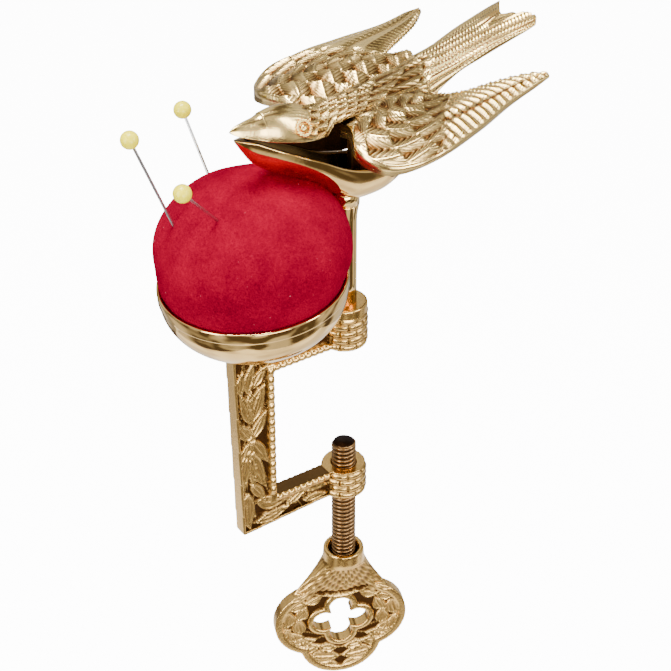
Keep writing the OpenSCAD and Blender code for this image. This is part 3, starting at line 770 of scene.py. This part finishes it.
# Edge height on the near side, where the hollow shows in front of the wing: [x, height]
OPEN_EDGE = [[-9, 22], [-7.4, 24.6], [-4, 25.8], [8, 25.6], [16, 25], [20, 24.4]]
# Edge height on the far side, which comes down to the belly behind the neck: [x, height]
SHUT_EDGE = [[-24, 24], [-21.6, 22.1], [-16, 19.1], [-12, 17], [-8, 14.65], [-4, 12.25], [0, 10.65],
             [4, 9.45], [8, 9], [12, 9.2], [14, 10.5], [16, 14], [18, 18], [20, 21.6]]
# Wing edges from root to tip: [x, share of half span, height]
LEAD = [[-9.5, 0.15, 25.5], [-11, 0.4, 25.6], [-11.2, 0.6, 24.9], [-7, 0.86, 22.6],
        [2, 1, 23.4], [16, 0.935, 24.9], [29, 0.83, 26.6], [41, 0.8, 29]]
TRAIL = [[14, 0.15, 27.6], [16, 0.3, 27], [18, 0.36, 26.4], [20.5, 0.41, 26],
         [24, 0.48, 26.4], [29.3, 0.54, 27.3], [35.4, 0.62, 28.2], [41, 0.735, 29]]
CAMBER = [1, 1.4, 1.8, 2, 1.8, 1.2, 0.6, 0.1]
# Width of one long feather at a wing's outer edge
COMB_W = 1.75
EYE_X, EYE_Y, EYE_Z = -15.4, 5.05, 26.2
EYE_TILT = math.radians(62)
EYE_RING_R = 1.7
STEP_X = -23.8
NECK_X = -12.5
TAIL_X = 24.0
TAIL_END = BACK[-1][0]


def scatter(row, column):
    """A steady pseudo-random number from 0 to 1 for each feather."""
    return np.abs(np.sin(row * 12.9898 + column * 78.233) * 43758.5453) % 1


def feathers(u, v, length, width, barb=0.9):
    """Overlapping rounded feathers: height from 0 to 1. u runs towards the tips and v across."""
    height = np.zeros_like(u)
    for back_by in (1, 0):
        row = np.floor(u / length) - back_by
        du = u / length - row
        shifted = v / width + 0.5 * (row % 2)
        column = np.floor(shifted)
        chance = scatter(row, column)
        dv = (shifted - column - 0.5) * 2
        tip = 1.0 + (0.55 + 0.2 * chance) * np.sqrt(np.clip(1 - dv**2, 0, 1))
        inside = smoothstep(tip - du, 0, 0.1)
        rise = 0.1 + 0.38 * du / 1.6 + 0.3 * (1 - dv**2)
        rim = 0.22 * bump(tip - du - 0.12, 0.1)
        rib = 0.14 * bump(dv, 0.12)
        phase = (du * length - np.abs(dv) * width * 0.55) / barb + chance
        barbs = 0.10 * np.cos(2 * np.pi * phase) * smoothstep(np.abs(dv), 0.05, 0.25)
        value = (rise + rim + rib + barbs) * (0.88 + 0.24 * chance)
        height = height * (1 - inside) + value * inside
    return np.clip(height, 0, 1.15)


def long_feathers(across, along, width, slant, barb=0.1):
    """Long feathers lying side by side, each with a rib and fine slanting barbs."""
    d = (across / width % 1 - 0.5) * 2
    round_top = np.sqrt(np.clip(1 - d**2 * 0.95, 0, 1))
    barbs = barb * np.cos(2 * np.pi * (along + np.abs(d) * slant))
    return 0.15 + 0.75 * round_top + 0.08 * bump(d, 0.15) + barbs * (1 - bump(d, 0.2))


def in_bird(points):
    """Points given in the bird's own axes, turned and set on the post."""
    return turned(points, BIRD_TURN) + [0, 0, BIRD_Z]


def arch_rows(stations, columns, count):
    """Outer arches of a boat-shaped casting, as rows of points from one edge to the other."""
    table = spline(stations, count)
    angle = np.linspace(0, np.pi, columns)
    x = np.repeat(table[:, :1], columns, 1)
    y = -table[:, 1:2] * np.cos(angle)
    z = table[:, 2:3] + (table[:, 3:4] - table[:, 2:3]) * np.sin(angle)
    return np.stack([x, y, z], axis=-1), table, angle


def inner_rows(stations, columns, count, hollow):
    """Inside of the same casting, a wall's thickness in, filled in where hollow is 0."""
    _, table, angle = arch_rows(stations, columns, count)
    wall = np.minimum(WALL, table[:, 1:2] * 0.6)
    half = table[:, 1:2] - wall
    up = np.sign(table[:, 3:4] - table[:, 2:3])
    full = table[:, 3:4] - up * wall - table[:, 2:3]
    rise = full * np.interp(table[:, :1], *np.array(hollow).T)
    x = np.repeat(table[:, :1], columns, 1)
    return np.stack([x, -half * np.cos(angle), table[:, 2:3] + rise * np.sin(angle)], axis=-1)


def belly():
    """Polished open boat that the beak and back close on."""
    columns, count = 64, 200
    hollow = [[-28, 0], [-22, 0.7], [-16, 1], [16, 1], [21, 0.3], [22, 0]]
    outer, _, _ = arch_rows(BELLY, columns, count)
    points, faces = shell(outer, inner_rows(BELLY, columns, count, hollow))
    # Painted shade on the inside faces of the hollow, which are also rougher, unpolished brass
    inside = np.zeros((count, 2 * columns))
    inside[:, columns:] = 0.75
    pad = lathe([[0, 0], [FLARE_R, 0], [FLARE_R, 3.0], [FLARE_R - 0.6, 3.8], [0, 3.8]], 64)
    solid = joined((points, faces), pad)
    shade_and_patina = np.concatenate([inside.ravel(), np.zeros(len(pad[0]))])
    return piece("belly_casting", (in_bird(solid[0]), solid[1]), polished_brass, "frame",
                 ["bird_belly"], shade_and_patina)


def along_edge(x, edge):
    """Height of an edge at each x, and where x lies between its ends."""
    places, heights = np.array(edge).T
    return np.interp(x, places, heights), (x > places[0]) & (x < places[-1])


def trim_back(outer, inner, table, angle):
    """Cut the near edge up to show the hollow and bring the far edge down to the belly."""
    x, edge, spine = table[:, :1], table[:, 2:3], table[:, 3:4]
    # The tail is fuller at its edges
    in_tail = smoothstep(x, 28, 40)
    fullness = np.sin(angle)[None, :] ** (1 - 0.5 * in_tail)
    edge_z = np.repeat(edge, len(angle), 1)
    opened, in_opening = along_edge(x, OPEN_EDGE)
    is_open = in_opening & (angle < np.pi / 2)
    edge_z = np.where(is_open, np.maximum(opened, edge_z), edge_z)
    shut, in_shut = along_edge(x, SHUT_EDGE)
    is_shut = in_shut & (angle > np.pi / 2)
    edge_z = np.where(is_shut, np.minimum(shut, edge_z), edge_z)
    outer[..., 2] = edge_z + (spine - edge_z) * fullness
    inner[..., 2] = np.where(is_open, np.maximum(inner[..., 2], edge_z), inner[..., 2])
    deeper = edge_z + (inner[..., 2] - edge) * (spine - edge_z) / (spine - edge)
    inner[..., 2] = np.where(is_shut, deeper, inner[..., 2])
    inner[..., 2] = np.minimum(inner[..., 2], outer[..., 2] - 0.25 * np.sin(angle))


def back_plumage(x, arc):
    """Feathers of the back: where they begin, where they turn into the tail's, and their height."""
    ragged = 0.5 * np.sin(arc * 2.2)
    start = smoothstep(x + ragged, NECK_X - 0.6, NECK_X + 0.6)
    to_tail = smoothstep(x + 0.8 * np.abs(arc), TAIL_X, TAIL_X + 3)
    grown = 1 + 0.5 * smoothstep(x, 0, 22)
    small = feathers((x - NECK_X + np.abs(arc) * 0.5) / grown, (arc + 1.3) / grown, 2.6, 2.5, 0.75)
    tail_fan = (x - TAIL_X) / (TAIL_END - TAIL_X)
    long = long_feathers(arc * (1 - 0.25 * tail_fan) + 1.1, x, 2.6, 1.0, 0.16)
    return start, to_tail, small * (1 - to_tail) + long * to_tail


def fork_tail(rows):
    """Fork the tail's end: a round lobe on the near side and a pointed one on the far side."""
    lobe = 6.2
    t = np.clip(np.abs(rows[..., 1]) / 7.4, 0, 1)
    near = 47.6 + lobe * np.sin(np.pi * 0.85 * t) ** 0.6
    far = 47.4 + lobe * t**1.2
    reach = np.where(rows[..., 1] < 0, near, far)
    part = smoothstep(rows[..., 0], 38, TAIL_END) ** 1.3
    rows[..., 0] = rows[..., 0] + part * (reach - TAIL_END)


def back_body():
    """Head, neck, back and forked tail of the upper casting."""
    columns, count = 112, 430
    hollow = [[-24, 0], [-20, 0.5], [-16, 0.7], [-12, 1], [12, 1], [20, 0.9], [28, 0.4], [34, 0]]
    outer, table, angle = arch_rows(BACK, columns, count)
    inner = inner_rows(BACK, columns, count, hollow)
    trim_back(outer, inner, table, angle)
    x = outer[..., 0]
    arc = (angle - np.pi / 2) * np.minimum(table[:, 1:2], 7) * 1.25
    start, to_tail, plumage = back_plumage(x, arc)
    # The beak is set in behind a step, and fine hatching leads from the head into the feathers
    beak = smoothstep(STEP_X - x, -0.15, 0.25)
    shift = -0.3 * beak * (0.4 + 0.6 * bump(arc / 3, 0.9))
    neck_hatch = bump(x - NECK_X + 1.5, 2.2) * 0.25 * np.cos(arc * 7 + x)
    shift = shift + start * (plumage - 0.65) * (1.4 - 0.3 * to_tail) + neck_hatch * 0.5
    # Painted shade with some patina between the feathers, and a painted shade line at the beak's step
    shade_and_patina = np.clip(start * (0.8 - plumage) * 1.7 + 0.35 * bump(x - STEP_X, 0.16), 0, 1)
    lift = np.zeros_like(outer)
    lift[..., 1] = -np.cos(angle)
    lift[..., 2] = np.sin(angle)
    outer = outer + lift * (shift * np.sin(angle) ** 0.3)[..., None]
    for rows in (outer, inner):
        fork_tail(rows)
    points, faces = shell(outer, inner)
    # Painted shade on the inside faces of the hollow, which are also rougher
    values = np.concatenate([shade_and_patina, np.full((count, columns), 0.9)], axis=1)
    return piece("back_casting", (in_bird(points) + [0, 0, BEAK_GAP], faces), feather_brass, "back",
                 ["bird_back"], values.ravel())


def wing_edges(rows, side, set_back, root_back):
    """Leading edge, trailing edge and camber of a wing in rows from its root to its tip."""
    steps = np.linspace(0, 1, rows)
    full_size = np.array([1, side * WING_HALF, 1])
    lead, trail = spline(LEAD, rows) * full_size, spline(TRAIL, rows) * full_size
    lead[:, 0] += set_back * smoothstep(0.36 - steps, 0, 0.3)
    trail[:, 0] += root_back * smoothstep(0.5 - steps, 0, 0.4)
    return lead[:, None], trail[:, None], spline(np.array(CAMBER)[:, None], rows)


def wing_plumage(s, c, along, across, combed):
    """Height of a wing's feathers, and where the long ones have taken over from the scallops."""
    outer_part = smoothstep(s + 0.12 * (c - 0.5), 0.52, 0.6)
    scallops = feathers(across * 0.6 + along * 0.7, across * 0.8 - along * 0.6, 4.4, 5.0, 0.95)
    if combed:
        comb = long_feathers(along * 1.1 + across * 0.7, across, COMB_W, 0.2, 0.04)
        plumes = np.clip(comb - 0.55 * bump(c - 0.45, 0.05), 0, 1.2)
    else:
        plumes = long_feathers(c * 3, along / 1.6, 1.0, 0.5, 0.03)
    return scallops * (1 - outer_part) + plumes * outer_part, outer_part


def wing(name, side, combed, set_back, root_back):
    """One wing: scalloped feathers near the body and long ones out to the tip.

    Combed feathers lie across the wing and the others along it. The root's leading edge is moved
    back by set_back and its trailing edge by root_back.
    """
    rows, chord = 300, 120
    lead, trail, camber = wing_edges(rows, side, set_back, root_back)
    # Shares of the way from root to tip, and from the leading edge to the trailing edge
    s = np.linspace(0, 1, rows)[:, None]
    c = np.linspace(0, 1, chord)[None, :]
    arch = np.sin(np.pi * c)
    shoulder = smoothstep(0.62 - s, 0, 0.3)
    thick = WING_T * (0.3 + 0.2 * arch**0.6) * (0.45 + 0.55 * smoothstep(1 - s, 0, 0.08))
    middle = lead + (trail - lead) * c[..., None]
    over = middle.copy()
    under = middle.copy()
    over[..., 2] += camber * arch + thick - 0.7 * shoulder * (1 - c) ** 12
    under[..., 2] += camber * arch - thick - 2.6 * shoulder * (1 - c) ** 8
    # The root runs down into the back
    sunk = 1.8 * smoothstep(0.14 - s, 0, 0.14)
    over[..., 2] -= sunk
    under[..., 2] -= sunk
    # Distances in millimetres along the wing and across it from the leading edge
    gap = np.linalg.norm(trail - lead, axis=-1)
    strides = np.linalg.norm(np.diff((lead + trail)[:, 0] / 2, axis=0), axis=-1)
    along = np.concatenate([[0], np.cumsum(strides)])[:, None]
    across = gap * c
    plumage, outer_part = wing_plumage(s, c, along, across, combed)
    rim = smoothstep(across, 0.1, 0.8) * smoothstep(gap - across, 0.0, 0.5)
    over[..., 2] += rim * (plumage - 0.6) * (1.75 - 0.7 * outer_part)
    # Feather tips break up the trailing edge
    teeth = 0.5 + 0.5 * np.cos(2 * np.pi * along / COMB_W)
    push = (c**6) * (teeth - 0.5) * 0.6 * smoothstep(s, 0.15, 0.3) * smoothstep(1 - s, 0.0, 0.1)
    outward = (trail - lead) / np.maximum(gap, 0.2)[..., None]
    over += outward * push[..., None]
    under += outward * push[..., None]
    # Painted shade with some patina between the feathers
    shade_and_patina = np.clip(rim * (0.8 - plumage) * 1.7, 0, 1)
    points, faces = shell(over, under)
    # Painted shade on the wing's underside, which is also rougher
    values = np.concatenate([shade_and_patina, np.full((rows, chord), 0.5)], axis=1)
    return piece(name, (in_bird(points) + [0, 0, BEAK_GAP], faces), feather_brass, "back",
                 shade_and_patina=values.ravel())


def eye():
    """A ring with radial ticks round a small ball, lying flat."""
    around, sides, ticks = 72, 12, 18
    turn = np.arange(around)[:, None] * 2 * np.pi / around
    section = np.arange(sides) * 2 * np.pi / sides
    thick = 0.42 + 0.14 * np.cos(ticks * turn)
    radius = EYE_RING_R + thick * np.cos(section)
    points = np.stack([radius * np.cos(turn), radius * np.sin(turn), thick * np.sin(section)], axis=-1)
    faces = wrapped_grid(around, sides)
    last = (around - 1) * sides
    faces += [[last + i, last + (i + 1) % sides, (i + 1) % sides, i] for i in range(sides)]
    return joined((points.reshape(-1, 3), faces), ball((0, 0, -0.1), 0.95, (1, 1, 0.75), 12))


def eyes():
    """An eye on each side of the head."""
    parts = []
    for side in (-1, 1):
        points, faces = eye()
        tilt = Matrix.Rotation(-side * EYE_TILT, 3, "X")
        parts.append((points @ np.array(tilt).T + [EYE_X, side * EYE_Y, EYE_Z], faces))
    points, faces = joined(*parts)
    return piece("eyes", (in_bird(points) + [0, 0, BEAK_GAP], faces), feather_brass, "back")


# ---- hinge and spring ----


def prism(outline, y_low, y_high):
    """Solid between two planes across Y, from an outline of [x, z]."""
    outline = np.asarray(outline, float)
    rim = 0.01
    rows = [np.insert(outline, 1, y, axis=1) for y in (y_low, y_low + rim, y_high - rim, y_high)]
    return tube(np.array(rows))


def lug_outline(far_z):
    """Lug round the hinge pin that runs straight to far_z."""
    first = math.pi if far_z > HINGE_Z else 0
    turn = np.linspace(first, first + math.pi, 20)
    arc = [[HINGE_X + LUG_R * math.cos(t), HINGE_Z + LUG_R * math.sin(t)] for t in turn]
    return arc + [[arc[-1][0], far_z], [arc[0][0], far_z]]


def seat(profile):
    """A turned seat on the spring's axis."""
    points, faces = lathe(profile, 48)
    return points + [SPRING_X, 0, 0], faces


def dull_shaded_fitting(name, solids, body):
    """Lugs and a seat inside the bird, joined in one piece of half-dull brass darkened with painted shade.
    """
    points, faces = joined(*solids)
    return piece(name, (in_bird(points), faces), cast_brass, body,
                 shade_and_patina=np.full(len(points), 0.5))


def hinge_and_seats():
    """Two lugs and the lower seat on the belly, one lug and the upper seat on the back."""
    low = [prism(lug_outline(LUG_FOOT_Z), side * OUTER_LUG_Y - OUTER_LUG_HALF,
                 side * OUTER_LUG_Y + OUTER_LUG_HALF) for side in (-1, 1)]
    low.append(seat([[0, 2.8], [0.8, 2.8], [2.9, 5.2], [2.9, 6.4], [1.7, 6.4], [1.7, 8.4], [0, 8.4]]))
    dull_shaded_fitting("belly_lugs", low, "frame")
    high = [prism(lug_outline(LUG_ROOF_Z), -MIDDLE_LUG_HALF, MIDDLE_LUG_HALF),
            seat([[0, 23.5], [2.7, 23.5], [2.8, 23.6], [2.8, LUG_ROOF_Z], [0, LUG_ROOF_Z]])]
    dull_shaded_fitting("back_lug", high, "back")


def spring():
    """Compression spring of round wire, made at one length; the real one shortens as the beak opens."""
    steps, sides = SPRING_TURNS * 40, 14
    low, high = SPRING_LOW[2] + WIRE_R, SPRING_HIGH[2] - WIRE_R
    t = np.linspace(0, 1, steps)[:, None]
    turn = 2 * np.pi * SPRING_TURNS * t
    a = np.arange(sides) * 2 * np.pi / sides
    centre_z = low + (high - low) * t
    x = (SPRING_R + WIRE_R * np.cos(a)) * np.cos(turn) + SPRING_X
    y = (SPRING_R + WIRE_R * np.cos(a)) * np.sin(turn)
    z = centre_z + WIRE_R * np.sin(a) - BIRD_Z
    points, faces = tube(np.stack([x, y, z], axis=-1))
    thing = piece("coil_spring", (in_bird(points), faces), steel, "frame", ["beak_spring"])
    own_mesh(thing)
    return thing


# ---- stage ----


def softbox(name, place, aim, size, power):
    """A rectangular lamp that the camera doesn't see."""
    light = bpy.data.lights.new(name, "AREA")
    light.shape = "RECTANGLE"
    light.size, light.size_y = size
    light.energy = power
    thing = bpy.data.objects.new(name, light)
    thing.location = place
    thing.rotation_euler = (Vector(aim) - Vector(place)).to_track_quat("-Z", "Y").to_euler()
    thing.visible_camera = False
    bpy.context.scene.collection.objects.link(thing)


def white_floor():
    """A pale floor, bright to the eye without lighting the brass from below."""
    mesh = bpy.data.meshes.new("floor")
    half = 6.0
    mesh.from_pydata([(-half, -half, 0), (half, -half, 0), (half, half, 0), (-half, half, 0)], [],
                     [(0, 1, 2, 3)])
    n = Nodes("floor")
    n.set(Roughness=1.0, Base_Color=(0.95, 0.95, 0.95, 1), Emission_Strength=12.0,
          Emission_Color=(1, 1, 1, 1))
    mesh.materials.append(n.material)
    thing = bpy.data.objects.new("floor", mesh)
    thing.location = (0, 0, -0.42)
    thing.visible_glossy = False
    thing.visible_diffuse = False
    bpy.context.scene.collection.objects.link(thing)


def studio_walls():
    """Pale walls with a few dark gaps between them, as in a small studio."""
    world = bpy.data.worlds.new("studio")
    world.use_nodes = True
    bpy.context.scene.world = world
    tree = world.node_tree
    direction = tree.nodes.new("ShaderNodeTexCoord")
    bands = tree.nodes.new("ShaderNodeTexNoise")
    ramp = tree.nodes.new("ShaderNodeValToRGB")
    bands.inputs["Scale"].default_value = 2.4
    bands.inputs["Detail"].default_value = 1.0
    stretch = tree.nodes.new("ShaderNodeMapping")
    stretch.inputs["Scale"].default_value = (1.0, 1.0, 0.6)
    tree.links.new(direction.outputs["Generated"], stretch.inputs["Vector"])
    tree.links.new(stretch.outputs["Vector"], bands.inputs["Vector"])
    tree.links.new(bands.outputs["Fac"], ramp.inputs["Fac"])
    stops = ramp.color_ramp.elements
    stops[0].position, stops[0].color = 0.42, (0.13, 0.105, 0.08, 1)
    stops[1].position, stops[1].color = 0.57, (1.0, 1.0, 1.0, 1)
    tree.links.new(ramp.outputs["Color"], tree.nodes["Background"].inputs["Color"])
    tree.nodes["Background"].inputs["Strength"].default_value = 0.88


# Lamps: [name, place, point aimed at, size, power]
SOFTBOXES = [
    ["overhead", (-0.1, 0.1, 1.0), (0, 0, 0), (0.4, 0.4), 21],
    ["left", (-1.0, -0.15, 0.3), (0, 0, 0), (0.35, 0.9), 12],
    ["front", (-0.25, -1.0, 0.05), (0, 0, -0.03), (0.7, 0.4), 10],
    ["bounce", (0.08, 0.08, -0.41), (0.08, 0.08, 0), (0.7, 0.7), 1.8],
    ["front_right", (0.55, -0.8, 0.45), (0, 0, 0), (0.25, 0.7), 7],
]


def camera():
    """View from 34 degrees to the left of the front and 34 degrees up."""
    distance, left_by, up_by = 0.450, 0.002125, 0.000911
    azimuth, elevation = math.radians(-34), math.radians(34)
    right = Vector((math.cos(azimuth), math.sin(azimuth), 0))
    forward = Vector((-math.sin(azimuth) * math.cos(elevation), math.cos(azimuth) * math.cos(elevation),
                      -math.sin(elevation)))
    up = right.cross(forward)
    lens = bpy.data.cameras.new("camera")
    lens.sensor_width = 36
    lens.lens = 97.8
    lens.clip_start, lens.clip_end = 0.01, 30
    thing = bpy.data.objects.new("camera", lens)
    thing.matrix_world = Matrix((right, up, -forward)).transposed().to_4x4()
    thing.location = -forward * distance - right * left_by + up * up_by
    bpy.context.scene.collection.objects.link(thing)
    bpy.context.scene.camera = thing


clamp()
helix_screw()
handle()
post()
cup()
cushion()
belly()
back_body()
wing("wing_right", -1, True, 4.5, 0.0)
wing("wing_left", 1, False, 1.5, 11.0)
eyes()
hinge_and_seats()
spring()
white_floor()
studio_walls()
for lamp in SOFTBOXES:
    softbox(*lamp)
camera()
